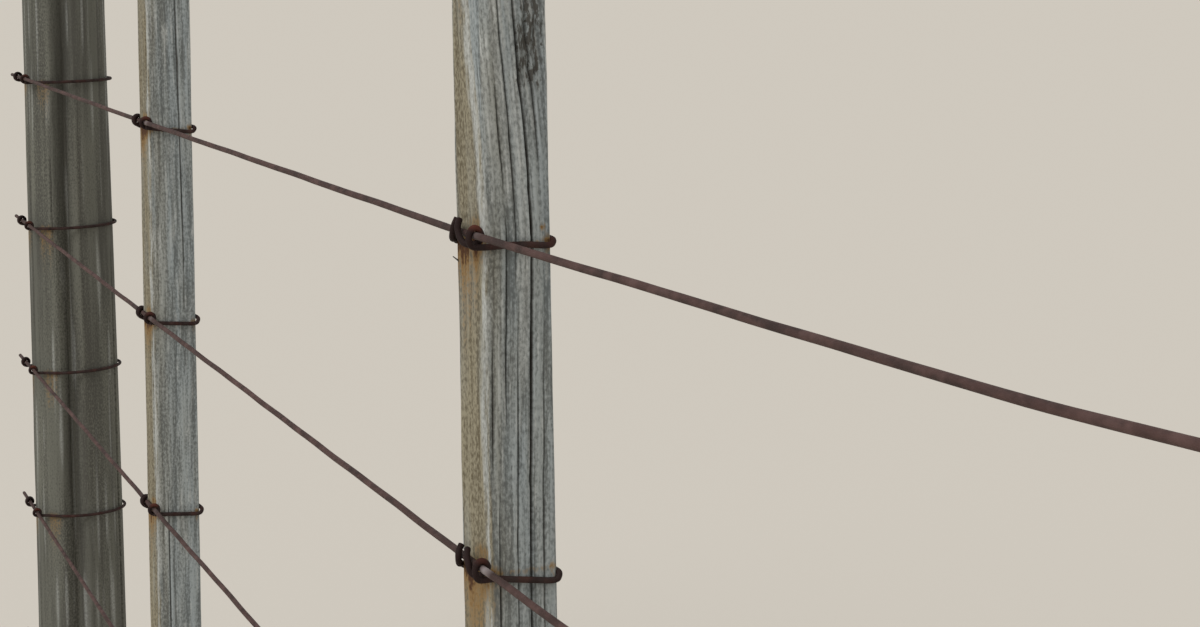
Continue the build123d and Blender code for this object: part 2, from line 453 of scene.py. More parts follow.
# %% Streaks of grain
grain_group, given = new_group(
    "grain streaks",
    {"Grain": None, "Ridge": 0.5, "Dark": (0.1, 0.1, 0.1, 1),
     "Pale": (0.4, 0.4, 0.4, 1), "Speckle share": 0.3},
    {"Colour": "NodeSocketColor", "Height": "NodeSocketFloat", "Speckle": "NodeSocketFloat"},
)
fine_streaks = noise(given["Grain"], (900, 30, 0), 3, 0.6)
broad_streaks = noise(given["Grain"], (260, 9, 0), 2, 0.5)
fibres = noise(given["Grain"], (2400, 240, 0), 2, 0.6)
speckle = noise(given["Grain"], (640, 330, 0), 2, 0.6)
# Ridge lightens raised grain and darkens grooves: partly the wood's own tone, partly painted shade and
# highlight of the relief.
streak = (fine_streaks * 0.66 + broad_streaks * 0.34) * 0.72 + given["Ridge"] * 0.28
tone = ramp(streak + (speckle - streak) * given["Speckle share"], 0.39, 0.6)
shade = mix_colour(tone, given["Dark"], given["Pale"])
height = fine_streaks * 0.45 + fibres * 0.25 + speckle * 0.3
new_node(grain_group, "NodeGroupOutput", {"Colour": shade, "Height": height, "Speckle": speckle})
print("grain streaks group:", len(grain_group.nodes), "nodes")

# %% Mottled rust
rust_group, given = new_group(
    "mottled rust",
    {"Place": None, "Body": (0.1, 0.05, 0.04, 1), "Deep": (0.03, 0.02, 0.02, 1),
     "Bloom": (0.2, 0.1, 0.08, 1), "Bloom share": 0.5},
    {"Colour": "NodeSocketColor", "Roughness": "NodeSocketFloat", "Height": "NodeSocketFloat"},
)
patches = noise(given["Place"], (34, 150, 150), 4, 0.6)
grit = noise(given["Place"], (900, 1400, 1400), 4, 0.7)
bloom = noise(given["Place"], (90, 110, 110), 3, 0.5)
body = mix_colour(ramp(patches, 0.3, 0.66), given["Deep"], given["Body"])
body = mix_colour(ramp(bloom, 0.4, 0.75) * given["Bloom share"], body, given["Bloom"])
new_node(rust_group, "NodeGroupOutput", {"Colour": body, "Roughness": grit * 0.4 + 0.55, "Height": grit})
print("mottled rust group:", len(rust_group.nodes), "nodes")

# %% [markdown]
# ## The timber materials
# The colour is built up in layers: grey streaks of grain, lighter on raised grain and darker in grooves
# (partly tone, partly painted shade and highlight), tan where the sun reaches less, silver where
# fibres have bleached and as a painted highlight along arrises, painted shade in the checks and
# hollows, and orange to brown where rust has soaked in, darkest just under the ties, where it is
# partly their painted shadow. The masks are attributes that numpy paints on each piece.

# %% Timber materials


def principled(name):
    """A new material and its Principled BSDF."""
    material = bpy.data.materials.new(name)
    material.use_nodes = True
    return material, next(node for node in material.node_tree.nodes if node.type == "BSDF_PRINCIPLED")


def finish_shader(shader, colour, roughness, specular, height, distance, strength):
    """Feeds the shader, with a bump from a height that is multiplied by a distance."""
    inputs = {"Height": height, "Distance": distance, "Strength": strength}
    bump = Value(new_node(shader.id_data, "ShaderNodeBump", inputs).outputs["Normal"])
    inputs = {"Base Color": colour, "Roughness": roughness, "Specular IOR Level": specular, "Normal": bump}
    feed(shader, inputs)


def timber_material(name, dark, pale, tan_dark, tan):
    """Grey and tan grain, then silver with painted highlight, rust stain with painted shadow under ties, and
    painted shade in checks, by the piece's own masks.
    """
    material, shader = principled(name)
    tree = material.node_tree
    place = Value(new_node(tree, "ShaderNodeUVMap", {}, uv_map="grain").outputs["UV"])
    shared = {"Grain": place, "Ridge": attribute(tree, "ridge")}
    grey, warm = (
        new_node(tree, "ShaderNodeGroup", shared | own, node_tree=grain_group)
        for own in (
            {"Dark": dark, "Pale": pale, "Speckle share": 0.38},
            {"Dark": tan_dark, "Pale": tan, "Speckle share": 0.58},
        )
    )
    colour = mix_colour(attribute(tree, "tan"), Value(grey.outputs["Colour"]), Value(warm.outputs["Colour"]))
    speckle = ramp(Value(grey.outputs["Speckle"]), 0.3, 0.7)
    # Silver: bleached wood, and on the droppers a painted highlight along the arrises.
    colour = mix_colour(attribute(tree, "silver") * (speckle * 0.75 + 0.55), colour, WOOD_SILVER_AND_HIGHLIGHT)
    stain = attribute(tree, "rust")
    uneven = (stain + (speckle - 0.5) * 0.4) * ramp(stain, 0.0, 0.2)
    colour = mix_colour(ramp(uneven, 0.0, 0.75), colour, STAIN_ORANGE)
    # The deepest stain colour, just under the ties, is partly a painted shadow of each tie.
    colour = mix_colour(ramp(uneven, 0.55, 1.1), colour, STAIN_DEEP_AND_SHADOW)
    splinters = noise(place, (420, 120, 0), 4, 0.65)
    torn = attribute(tree, "torn") * 0.62 + (splinters - 0.5) * 2.2
    # dark: painted shade in the checks, the post's hollow and sunk torn wood, and streaks over torn wood.
    dark = attribute(tree, "check").joined("MAXIMUM", ramp(torn, 0.45, 0.72) * 0.88)
    colour = mix_colour(dark, colour, SHADE_AND_DARK_WOOD)
    finish_shader(shader, colour, speckle * 0.14 + 0.82, 0.25, Value(grey.outputs["Height"]), 0.0006, 0.8)
    return material


dropper_timber = timber_material("dropper timber", WOOD_GREY_DARK, WOOD_GREY, WOOD_TAN_DARK, WOOD_TAN)
post_timber = timber_material("post timber", POST_DARK, POST_GREY, POST_DARK, POST_PALE)
print("timber materials:", dropper_timber.name, "and", post_timber.name)

# %% Wire materials


def wire_material(name, body, deep, bloom, bloom_share):
    """Rust on drawn steel: matt, mottled and gritty, with the piece's own masks over it."""
    material, shader = principled(name)
    tree = material.node_tree
    place = Value(tree.nodes.new("ShaderNodeTexCoord").outputs["Object"])
    inputs = {"Place": place, "Body": body, "Deep": deep, "Bloom": bloom, "Bloom share": bloom_share}
    rust = new_node(tree, "ShaderNodeGroup", inputs, node_tree=rust_group)
    colour = Value(rust.outputs["Colour"])
    # deep darkens, flush reddens, and the pale mask lightens to steel: partly rubbed bare steel, partly a
    # painted highlight.
    for label, over in (("deep", deep), ("flush", TIE_RED), ("bare_and_highlight", BARE_STEEL_AND_HIGHLIGHT)):
        colour = mix_colour(attribute(tree, label), colour, over)
    roughness, height = Value(rust.outputs["Roughness"]), Value(rust.outputs["Height"])
    finish_shader(shader, colour, roughness, 0.22, height, 0.0003, 0.7)
    return material


line_rust = wire_material("line wire rust", WIRE_BROWN, WIRE_DARK, WIRE_WORN, 0.5)
tie_rust = wire_material("tie wire rust", TIE_BROWN, TIE_DARK, TIE_RED, 0.2)
print("wire materials:", line_rust.name, "and", tie_rust.name)

# %% [markdown]
# ## A dropper's skin
# The section is a rectangle whose corners are eased: each point of the square outline moves
# onto its corner's own ellipse, so an arris can be sharp low down and waned to a wide round
# near the top, as on old sawn timber. The columns follow the grain, which wanders a little
# across the faces, and ridges, checks and stains are laid out along it.

# %% Section and ends of a timber
END_SHARES = (0.97, 0.8, 0.6, 0.4, 0.2)


def outline_point(around, half_width, half_depth):
    """Point of the sharp-cornered outline at a distance round it, from the back's middle
    past the -X face, the front and the +X face."""
    w, d = half_width, half_depth
    knots = np.array([0, w, w + 2 * d, 3 * w + 2 * d, 3 * w + 4 * d, 4 * w + 4 * d])
    x = np.interp(around, knots, [0, -w, -w, w, w, 0])
    y = np.interp(around, knots, [d, d, -d, -d, d, d])
    return x, y


def ease_corners(x, y, half_width, half_depth, ease_x, ease_y):
    """Each point moves onto an ellipse of radii ease_x and ease_y at its corner: middle of
    the ellipse plus the radii times the direction, both scaled to a circle and back."""
    core_x = np.sign(x) * np.minimum(np.abs(x), half_width - ease_x)
    core_y = np.sign(y) * np.minimum(np.abs(y), half_depth - ease_y)
    dx, dy = (x - core_x) / ease_x, (y - core_y) / ease_y
    size = np.maximum(np.hypot(dx, dy), 1e-9)
    dx, dy = dx / size, dy / size
    nx, ny = dx / ease_x, dy / ease_y
    size = np.maximum(np.hypot(nx, ny), 1e-9)
    return core_x + dx * ease_x, core_y + dy * ease_y, nx / size, ny / size


def sloped(along, length, from_back, degrees, power):
    """A top that sinks from its back edge by tan(slope) times the way to the front, with a
    high power of the height, so that hardly any of it reaches the rows below."""
    return along + np.tan(np.radians(degrees)) * from_back * (along / length) ** power


def close_ends(rings):
    """Rings that shrink to the middle of the first and of the last ring."""
    shares = np.array(END_SHARES)[:, None, None]
    foot, top = (end.mean(0) + (end - end.mean(0)) * shares for end in (rings[0], rings[-1]))
    return np.concatenate([foot[::-1], rings, top])


def extend(values):
    """The same values for the rings that close the ends."""
    return np.pad(values, ((len(END_SHARES), len(END_SHARES)), (0, 0)), "edge")


def place_timber(name, node, rings, around, height, marks, material):
    """Closes a timber's ends, carries grain and marks on over them, and places the piece."""
    marks = {label: with_ends(extend(values)) for label, values in marks.items()}
    mesh = skin_mesh(node, [close_ends(rings)], (extend(around), extend(height)), marks)
    place_piece(name, mesh, node, material)


print("eased corner, point on the front:", np.round(ease_corners(0.0, -0.02, 0.016, 0.02, 0.002, 0.002), 4))

# %% [markdown]
# ## Rust stains
# Rain carries rust from each tie down the timber. A stain is strongest just under the wire,
# thin above it, and its tail runs down the grain for some centimetres, in streaks.

# %% Stain mask


def stain_mask(around, height, wrap, marks, seed):
    """Sum over marks of strength times a bell across times a profile up and down: the
    profile falls as exp(-distance / above) over the mark and exp(-distance / below) under."""
    mask = np.zeros(height.shape)
    for place, level, half_width, above, below, strength in marks:
        away = distance_round(around, place, wrap)
        rise = height - level
        profile = np.where(rise > 0, np.exp(-rise / above), np.exp(np.minimum(rise, 0) / below))
        mask += strength * bell(away, half_width, 4) * profile
    streaks = grain_noise(around, height, 0.0016, 0.05, wrap, seed)
    blotches = grain_noise(around, height, 0.006, 0.009, wrap, seed + 40)
    return np.clip(mask * (0.85 + 0.4 * streaks + 0.3 * blotches), 0, 1.3)


# %% Build one dropper
GROOVE_RADIUS = 2.2 * MILLIMETRE
RIDGE_ROOM = 0.4 * MILLIMETRE
TORN_DEPTH = 1.3 * MILLIMETRE
LEAST_EASE = 1.2 * MILLIMETRE
CHECK_SHADE = 1.8 * MILLIMETRE
RIDGE_RANGE = 0.9 * MILLIMETRE
# Ridges and wavers of the grain: how high, how wide, how long and which seed.
FINE_RIDGES = ((0.00026, 0.0013, 0.035, 3), (0.00036, 0.0023, 0.08, 4))
BROAD_RIDGES = ((0.0003, 0.0062, 0.28, 5),)
WAVERS = ((0.0003, 0.01, 0.03, 2), (0.00014, 0.005, 0.009, 14))


def wire_levels(size):
    """Height of each line wire at a dropper's middle."""
    middle = size["foot"] + size["axes"][2] * 0.5
    return [wire_height(line, middle[0]) for line in wires.values()]


def torn_share(around, height, wrap, tears):
    """Sum over tears of strength times a bell across the grain times a soft start and end."""
    share = np.zeros(height.shape)
    for place, low, high, half_width, strength in tears:
        away = distance_round(around, place, wrap)
        along = ease_step(height, low, low + 0.02) * (1 - ease_step(height, high - 0.01, high))
        share += strength * bell(away, half_width, 4) * along
    return share


def build_dropper(node, size, columns, rows, wander, wane, checks, tears, pales, stains, seed):
    """Grid of grain column and row. Position is foot + across x + deep y + grain z, where x
    and y are the eased outline moved along its normal by ridges, checks and torn wood."""
    w, d = size["half_width"], size["half_depth"]
    wrap = 4 * (w + d)
    far_arris, arris = w + 2 * d, 3 * w + 2 * d
    grain = size["axes"][2]
    row_places = [(level - size["foot"][2]) / grain[2] for level in wire_levels(size)]
    steps = packed(0, size["length"], rows, row_places, reach=0.012, gain=9)
    column = packed(0, wrap, columns + 1, [arris - w, arris + d], reach=0.03, gain=1.2)[:-1]
    along, straight = np.meshgrid(steps, column, indexing="ij")
    height = size["foot"][2] + along * grain[2]

    def lumps(place, wide, tall, number):
        return grain_noise(place, height, wide, tall, wrap, seed + number)

    def waver(tall, number):
        return grain_noise(np.zeros_like(height), height, 1, tall, 3, seed + number)

    def summed(place, table):
        return sum(high * lumps(place, *cell) for high, *cell in table)

    # The outline follows the grain, with its near front corner waned.
    around = (straight + np.interp(height, *np.array(wander).T)) % wrap
    x, y = outline_point(around, w, d)
    near_front = (x > 0) & (y < 0)
    wane_x = np.interp(height, *np.array(wane).T) * (1 + 0.12 * waver(0.02, 0))
    plain = 0.0017 + 0.0005 * lumps(around, 0.03, 0.08, 1)
    ease_x = np.where(near_front, np.maximum(wane_x, LEAST_EASE), plain)
    ease_y = np.where(near_front, np.maximum(0.5 * wane_x, LEAST_EASE), plain)
    x, y, nx, ny = ease_corners(x, y, w, d, ease_x, ease_y)
    # Relief along the outline's normal.
    lines = straight + summed(straight, WAVERS)
    cut = check_depth(lines % wrap, height, wrap, checks)
    fine_ridges = summed(lines, FINE_RIDGES)
    ridges = fine_ridges + summed(lines, BROAD_RIDGES)
    torn = torn_share(around, height, wrap, tears)
    lost = torn * ease_step(lumps(lines, 0.0021, 0.009, 9), -0.3, 0.3)
    relief = ridges - RIDGE_ROOM - cut - TORN_DEPTH * lost
    x, y = x + nx * relief, y + ny * relief
    z = sloped(along, size["length"], y - d, degrees=7, power=12)
    rings = size["foot"] + np.stack([x, y, z], axis=-1) @ size["axes"]
    # The round beds that the line wires have worn.
    for line in wires.values():
        off = rings[..., 2] - wire_height(line, rings[..., 0])
        bed = wire_y + np.sqrt(np.clip(GROOVE_RADIUS**2 - off**2, 0, None))
        in_bed = (np.abs(off) < GROOVE_RADIUS) & (rings[..., 1] < bed)
        rings[..., 1] = np.where(in_bed, bed, rings[..., 1])
    # The masks: the front face is tan as far as a ragged border, with a band of painted highlight along it by
    # the rounded near arris.
    rust = stain_mask(around, height, wrap, stains, seed + 6)
    ragged = 0.0011 * waver(0.013, 10) + 0.0007 * lumps(around, 0.003, 0.006, 15)
    border = arris + 0.0014 - 1.1 * np.clip(wane_x - 0.0024, 0, None) + ragged
    face = ease_step(around, far_arris, far_arris + 0.003)
    face = face * (1 - ease_step(around, border - 0.001, border + 0.0012))
    blotch = lumps(lines, 0.008, 0.05, 7)
    band_middle = border - 0.0040 + 0.0015 * waver(0.04, 11)
    band_half = 0.0040 + 0.0015 * waver(0.025, 12)
    painted_highlight_band = bell(around - band_middle, band_half, 4)
    painted_highlight_band *= ease_step(lumps(lines, 0.0026, 0.011, 13), -1.0, 0.15)
    fibres = ease_step(lumps(lines, 0.0017, 0.02, 8), 0.35, 0.95) * (1 - face)
    back_arris_highlight = bell(around - arris - 2 * d, 0.001) * ease_step(height, 0.96, 1.0)
    bleached = torn_share(lines, height, wrap, pales) * (0.8 + 0.35 * lumps(lines, 0.0015, 0.02, 17))
    # silver: painted highlight along the front's near arris and the back arris, plus bleached fibres and pale
    # patches.
    silver = 0.8 * painted_highlight_band * (0.85 + 0.3 * blotch) + 0.55 * fibres + 0.8 * back_arris_highlight + bleached
    cast = lumps(lines, 0.005, 0.05, 18)
    by_arris = ease_step(around, arris - 0.001, arris)
    by_arris = by_arris * (1 - ease_step(around, arris + 0.005, arris + 0.017))
    warmth = 0.12 + 0.13 * cast + (0.24 + 0.08 * cast) * by_arris
    tan = face * (0.95 + 0.3 * blotch) * (1 - 0.5 * painted_highlight_band) + (1 - face) * warmth
    uneven_check_shade = 0.72 + 0.28 * lumps(lines, 0.004, 0.018, 16)
    # check is painted shade: darker in the checks by their depth and in sunk torn wood.
    marks = {
        # ridge: raised grain lighter and grooves darker, partly painted shade and highlight.
        "ridge": np.clip(0.5 + fine_ridges / RIDGE_RANGE, 0, 1),
        "tan": np.clip(tan, 0, 1),
        "silver": np.clip(silver * (1 - 0.85 * np.clip(3.5 * rust, 0, 1)), 0, 1),
        "check": np.maximum(np.clip(cut / CHECK_SHADE, 0, 1) * uneven_check_shade, 0.3 * np.clip(lost, 0, 1)),
        "torn": np.clip(torn, 0, 1),
        "rust": rust,
    }
    place_timber(node + "_wood", node, rings, straight, height, marks, dropper_timber)


# %% [markdown]
# ## The dropper in front of the eye
# This one sets the likeness. Its grain runs off to one side near the top, its near arris is
# waned there, and long checks run up its grey face. It is a little deeper than its CAD node.

# %% Shape of the main dropper


def rust_marks(size, seed):
    """Stains for every tie on a dropper: on the front, under each side and at the back
    corner, with a thin streak that runs on down. The strongest, just under each tie on the
    front, is partly rust and partly a painted shadow of the tie. Each is a place, a level, a
    half width, a reach up, a reach down and a strength."""
    rng = np.random.default_rng(seed)
    w, d = size["half_width"], size["half_depth"]
    arris = 3 * w + 2 * d
    found = []
    for level in wire_levels(size):
        strong = rng.uniform(0.8, 1.05)
        low = level - 0.005
        found += [
            (arris - rng.uniform(0.95, 1.1) * w, low, 0.016, 0.0035, 0.007, 1.2 * strong),
            (arris - rng.uniform(1.0, 1.3) * w, low, 0.012, 0.002, 0.03, 0.44 * strong),
            (arris - rng.uniform(1.35, 1.5) * w, low, 0.0028, 0.002, 0.045, 0.24 * strong),
            (arris - rng.uniform(0.6, 0.9) * w, level + 0.006, 0.007, 0.0028, 0.008, 0.6 * strong),
            (arris + 0.1 * d, low, 0.005, 0.002, 0.004, 0.5 * strong),
            (arris + d, low - 0.001, 0.02, 0.0012, 0.0022, 0.35 * strong),
            (arris + 1.9 * d, low, 0.003, 0.002, 0.007, 0.7 * strong),
            (w + 2 * d - 0.004, low, 0.006, 0.003, 0.02, 0.8 * strong),
            (w + 0.002, low, 0.005, 0.002, 0.012, 0.6 * strong),
        ]
    return found


added_depth = 0.45 * MILLIMETRE
main_size = dict(droppers["dropper_2"])
main_size["half_depth"] = main_size["half_depth"] + added_depth
main_size["foot"] = main_size["foot"] + added_depth * main_size["axes"][1]
main_half_width, main_depth = main_size["half_width"], 2 * main_size["half_depth"]
main_arris = 3 * main_half_width + main_depth


def on_grey_face(marks):
    """Marks whose place is given as a share of the grey face, from its near arris."""
    return [(main_arris + share * main_depth, *rest) for share, *rest in marks]


# Share of the face or place, lowest and highest point, width and depth.
main_checks = on_grey_face([
    (0.445, 0.90, 1.20, 0.0011, 0.0030),
    (0.675, 0.60, 1.16, 0.0020, 0.0050),
    (0.30, 0.83, 0.94, 0.0012, 0.0030),
    (0.285, 0.955, 1.008, 0.0013, 0.0024),
    (0.47, 0.70, 0.885, 0.0011, 0.0026),
    (0.20, 0.45, 0.80, 0.0012, 0.0034),
    (0.86, 0.62, 0.90, 0.0010, 0.0022),
    (0.84, 0.96, 1.05, 0.0014, 0.0024),
    (0.10, 0.80, 0.87, 0.0010, 0.0020),
]) + [
    (main_arris - 0.6 * main_half_width, 0.30, 0.62, 0.0012, 0.0030),
    (main_half_width + 0.6 * main_depth, 0.35, 0.95, 0.0016, 0.0045),
    (main_half_width + 0.3 * main_depth, 0.60, 1.10, 0.0012, 0.0035),
    (0.004, 0.25, 0.90, 0.0018, 0.0050),
]
# Height, and how far the grain has moved round there or how wide the corner is waned.
main_wander = [
    (0.10, -0.006), (0.40, -0.002), (0.60, -0.0030), (0.77, -0.0019), (0.83, -0.0006), (0.93, 0.0016),
    (0.96, 0.0004), (1.00, -0.0028), (1.03, -0.0056), (1.055, -0.0075), (1.17, -0.013),
]
main_wane = [
    (0.10, 0.0020), (0.94, 0.0024), (0.957, 0.0034), (0.97, 0.0046), (0.984, 0.0062),
    (1.001, 0.0084), (1.015, 0.0104), (1.031, 0.0140), (1.055, 0.0178), (1.17, 0.0200),
]
# Share of the face, lowest and highest point, half width and strength.
main_tears = on_grey_face([
    (0.79, 0.992, 1.16, 0.0066, 1.0),
    (0.68, 1.000, 1.16, 0.0038, 0.75),
    (0.56, 0.990, 1.042, 0.0020, 1.3),
    (0.90, 0.955, 1.0, 0.0026, 0.6),
    (0.66, 0.86, 0.93, 0.0022, 0.3),
])
main_pales = on_grey_face([
    (0.37, 0.94, 1.06, 0.0024, 0.5),
    (0.56, 0.84, 1.02, 0.0030, 0.5),
    (0.16, 0.94, 1.04, 0.0030, 0.25),
])
main_stains = on_grey_face([(0.87, 0.9312, 0.0019, 0.0014, 0.0014, 1.0)]) + [
    (main_arris - main_half_width, 0.9245, 0.010, 0.002, 0.018, 0.45),
    (main_arris - 0.8 * main_half_width, 0.7495, 0.019, 0.002, 0.06, 0.34),
]
build_dropper(
    "dropper_2", main_size, 290, 308, main_wander, main_wane, main_checks, main_tears, main_pales,
    main_stains + rust_marks(main_size, 2), 20,
)

# %% [markdown]
# ## The other droppers
# They are made by the same rules with other numbers, so that no two look alike.

# %% Build the other droppers


def random_checks(size, seed):
    """Long checks scattered over all four faces."""
    rng = np.random.default_rng(seed)
    wrap = 4 * (size["half_width"] + size["half_depth"])
    checks = []
    for place in (np.arange(9) + rng.uniform(0.1, 0.9, 9)) / 9 * wrap:
        middle, length = rng.uniform(0.25, 1.05), rng.uniform(0.18, 0.6)
        width = rng.uniform(0.0010, 0.0018)
        checks.append((place, middle - length / 2, middle + length / 2, width, 2.6 * width))
    return checks


for number, seed in ((1, 31), (3, 33), (4, 34), (5, 35)):
    rng = np.random.default_rng(seed)
    name = f"dropper_{number}"
    heights = np.linspace(0.1, 1.17, 7)
    wander = list(zip(heights, np.cumsum(rng.uniform(-0.003, 0.003, 7))))
    wane = list(zip(heights, rng.uniform(0.0014, 0.0024, 7) + 0.004 * (heights > 1.0)))
    tears = [(rng.uniform(0, 0.14), low, high, 0.006, 0.8) for low, high in ((1.04, 1.16), (0.1, 0.2))]
    size = droppers[name]
    checks, stains = random_checks(size, seed), rust_marks(size, seed)
    build_dropper(name, size, 130, 250, wander, wane, checks, tears, [], stains, seed)

# %% [markdown]
# ## The posts
# A post is a round log. Its radius is a straight taper plus slow swellings and fine ridges.
# One broad check opens towards the next dropper, as drying opens one main split to the
# heart. Its lips have worn round, so it is a soft hollow where the small checks are a V.

# %% Build the posts
POST_RIDGE_ROOM = 1.4 * MILLIMETRE
POST_CHECK_SHADE = 6 * MILLIMETRE
POST_RIDGES = ((0.0005, 0.009, 0.25, 2), (0.0004, 0.0035, 0.12, 3))


def hollow_depth(around, along, wrap, hollow):
    """A broad check whose lips have worn round: depth times 3 t^2 - 2 t^3, where t falls
    from 1 at its middle line to 0 at its lips."""
    place, low, high, width, deep = hollow
    share = np.clip((along - low) / (high - low), 0, 1)
    open_share = np.clip(4 * share * (1 - share), 0, 1) ** 0.35
    return deep * open_share * ease_step(1 - distance_round(around, place, wrap) / (width / 2), 0, 1)


def post_radius(size, height):
    """An even taper from foot to top."""
    return size["foot_radius"] + (size["top_radius"] - size["foot_radius"]) * height / size["height"]


def build_post(node, size, columns, rows, hollow, checks, seed):
    """Grid of bearing and height: radius is taper + swelling + ridges - checks - hollow,
    about a middle that moves so that the front stays plumb."""
    wrap = 2 * np.pi * size["foot_radius"]
    line_levels = [wire_height(line, size["x"]) for line in wires.values()]
    row = packed(0, size["height"], rows, line_levels, reach=0.012, gain=4)
    column = packed(0, wrap, columns + 1, [hollow[0] % wrap], reach=0.012, gain=1.5)[:-1]
    height, around = np.meshgrid(row, column, indexing="ij")

    def lumps(place, wide, tall, number):
        return grain_noise(place, height, wide, tall, wrap, seed + number)

    taper = post_radius(size, height)
    lines = around + 0.0015 * grain_noise(np.zeros_like(height), height, 1, 0.2, 3, seed)
    cut = check_depth(lines % wrap, height, wrap, checks)
    sunk = hollow_depth(lines, height, wrap, hollow)
    ridges = sum(high * lumps(lines, *cell) for high, *cell in POST_RIDGES)
    radius = taper + 0.0006 * lumps(around, 0.05, 0.3, 1) + ridges - POST_RIDGE_ROOM - cut - sunk
    bearing = around / wrap * 2 * np.pi
    x = size["x"] + radius * np.cos(bearing)
    y = size["front"] + taper + radius * np.sin(bearing)
    from_back = y - size["front"] - 2 * size["top_radius"]
    z = sloped(height, size["height"], from_back, degrees=12, power=16)
    blotch = lumps(lines, 0.02, 0.12, 4)
    stains = [
        (wrap * b, level - 0.004, 0.012, 0.003, 0.03, 0.5)
        for level in line_levels
        for b in (0.62, 0.75, 0.88)
    ]
    # Painted shade: a darker band beside the broad hollow, and the hollow and checks darker by their depth.
    painted_shade_band = bell(distance_round(around, hollow[0] + 0.012, wrap), 0.026, 4)
    painted_shade_band = 0.18 * painted_shade_band * (1 + 0.4 * blotch)
    marks = {
        # ridge: raised grain lighter and grooves darker, partly painted shade and highlight.
        "ridge": np.clip(0.5 + ridges / MILLIMETRE, 0, 1),
        "tan": np.clip(0.5 + blotch, 0, 1),
        "silver": 0.35 * ease_step(lumps(lines, 0.004, 0.1, 5), 0.3, 0.9),
        "check": np.maximum(np.clip(cut / POST_CHECK_SHADE, 0, 1), np.maximum(painted_shade_band, 0.35 * sunk / hollow[4])),
        "rust": stain_mask(around, height, wrap, stains, seed + 6),
    }
    rings = np.stack([x, y, z], axis=-1)
    place_timber(node + "_log", node, rings, around, height, marks, post_timber)


def post_checks(size, facing, seed):
    """The broad hollow at its bearing, then two lesser checks and many small."""
    rng = np.random.default_rng(seed)

    def place(bearing):
        angle = bearing if facing > 0 else 180 - bearing
        return (angle / 360) % 1 * 2 * np.pi * size["foot_radius"]

    hollow = (place(-14), 0.10, 1.18, 0.034, 0.017)
    checks = [(place(58), 0.11, 0.73, 0.005, 0.018), (place(118), 0.41, 1.11, 0.006, 0.022)]
    for bearing in rng.uniform(0, 360, 14):
        low = rng.uniform(0.0, 0.8)
        checks.append((place(bearing), low, low + rng.uniform(0.15, 0.4), 0.0022, 0.004))
    return hollow, checks


for name, facing, seed in (("post_a", 1, 51), ("post_b", -1, 61)):
    build_post(name, posts[name], 236, 212, *post_checks(posts[name], facing, seed), seed)

# %% [markdown]
# ## Wire
# A wire is a circle carried along a line. The circle's two directions are passed on from
# each point to the next without twist: each time, the part that points along the new run is
# taken out. Sharp corners of the route are rounded by a quadratic B-spline, which touches
# the middle of every run, so six corners a turn already give a smooth coil.

# %% Rounded route and tube


def rounded_route(corners, steps):
    """For corner P with M and N halfway to its neighbours, the arc is
    (1 - t)^2 M + 2 t (1 - t) P + t^2 N."""
    halves = (corners[:-1] + corners[1:]) / 2
    t = np.linspace(0, 1, steps, endpoint=False)[:, None]
    arcs = (1 - t) ** 2 * halves[:-1, None] + 2 * t * (1 - t) * corners[1:-1, None] + t**2 * halves[1:, None]
    return np.concatenate([corners[:1], arcs.reshape(-1, 3), halves[-1:], corners[-1:]])


def tube_rings(route, radius, sides):
    """Ring k of a tube: route point + radius (cos a U + sin a V), with U carried along and
    V square to it."""
    runs = unit(np.diff(route, axis=0))
    ways = unit(np.concatenate([runs[:1], runs[:-1] + runs[1:], runs[-1:]]))
    side = np.cross(ways[0], [0.31, 0.22, 0.93])
    carried = []
    for way in ways:
        side = unit(side - way * (side @ way))
        carried.append(side)
    u = np.array(carried)
    v = np.cross(ways, u)
    angle = np.arange(sides)[:, None] * 2 * np.pi / sides
    circle = np.cos(angle) * u[:, None] + np.sin(angle) * v[:, None]
    return route[:, None] + np.reshape(radius, (-1, 1, 1)) * circle


# %% A splinter below the upper tie
splinter_sides = 8
splinter_line = np.array([
    [1.8956, -0.0516, 0.9084],
    [1.8942, -0.0545, 0.9113],
    [1.8936, -0.0564, 0.9133],
    [1.8929, -0.0590, 0.9153],
])
route = rounded_route(splinter_line, steps=4)
rings = tube_rings(route, np.linspace(0.0009, 0.0003, len(route)), splinter_sides)
flat = np.zeros(rings.shape[:2])
mesh = skin_mesh(
    "splinter",
    [rings],
    grain=(0.0004 * np.arange(splinter_sides) + flat, rings[..., 2]),
    marks={"check": with_ends(flat + 0.9)},
)
place_piece("dropper_2_splinter", mesh, "dropper_2", dropper_timber)

# %% Line wires
wire_sides = 16
wire_radius = 0.00196
# Pale patches past each tie's near turn: rust rubbed off to bare steel, and at the listed spots of the main
# dropper a painted highlight on the wire.
pale_patch_at, pale_patch_width = 0.031, 0.0015
highlight_spots = {"line_wire_4": (1.9458, 0.9), "line_wire_5": (1.9340, 0.12)}
soft_bends = {"line_wire_5": (2.76, 0.15, 0.005)}


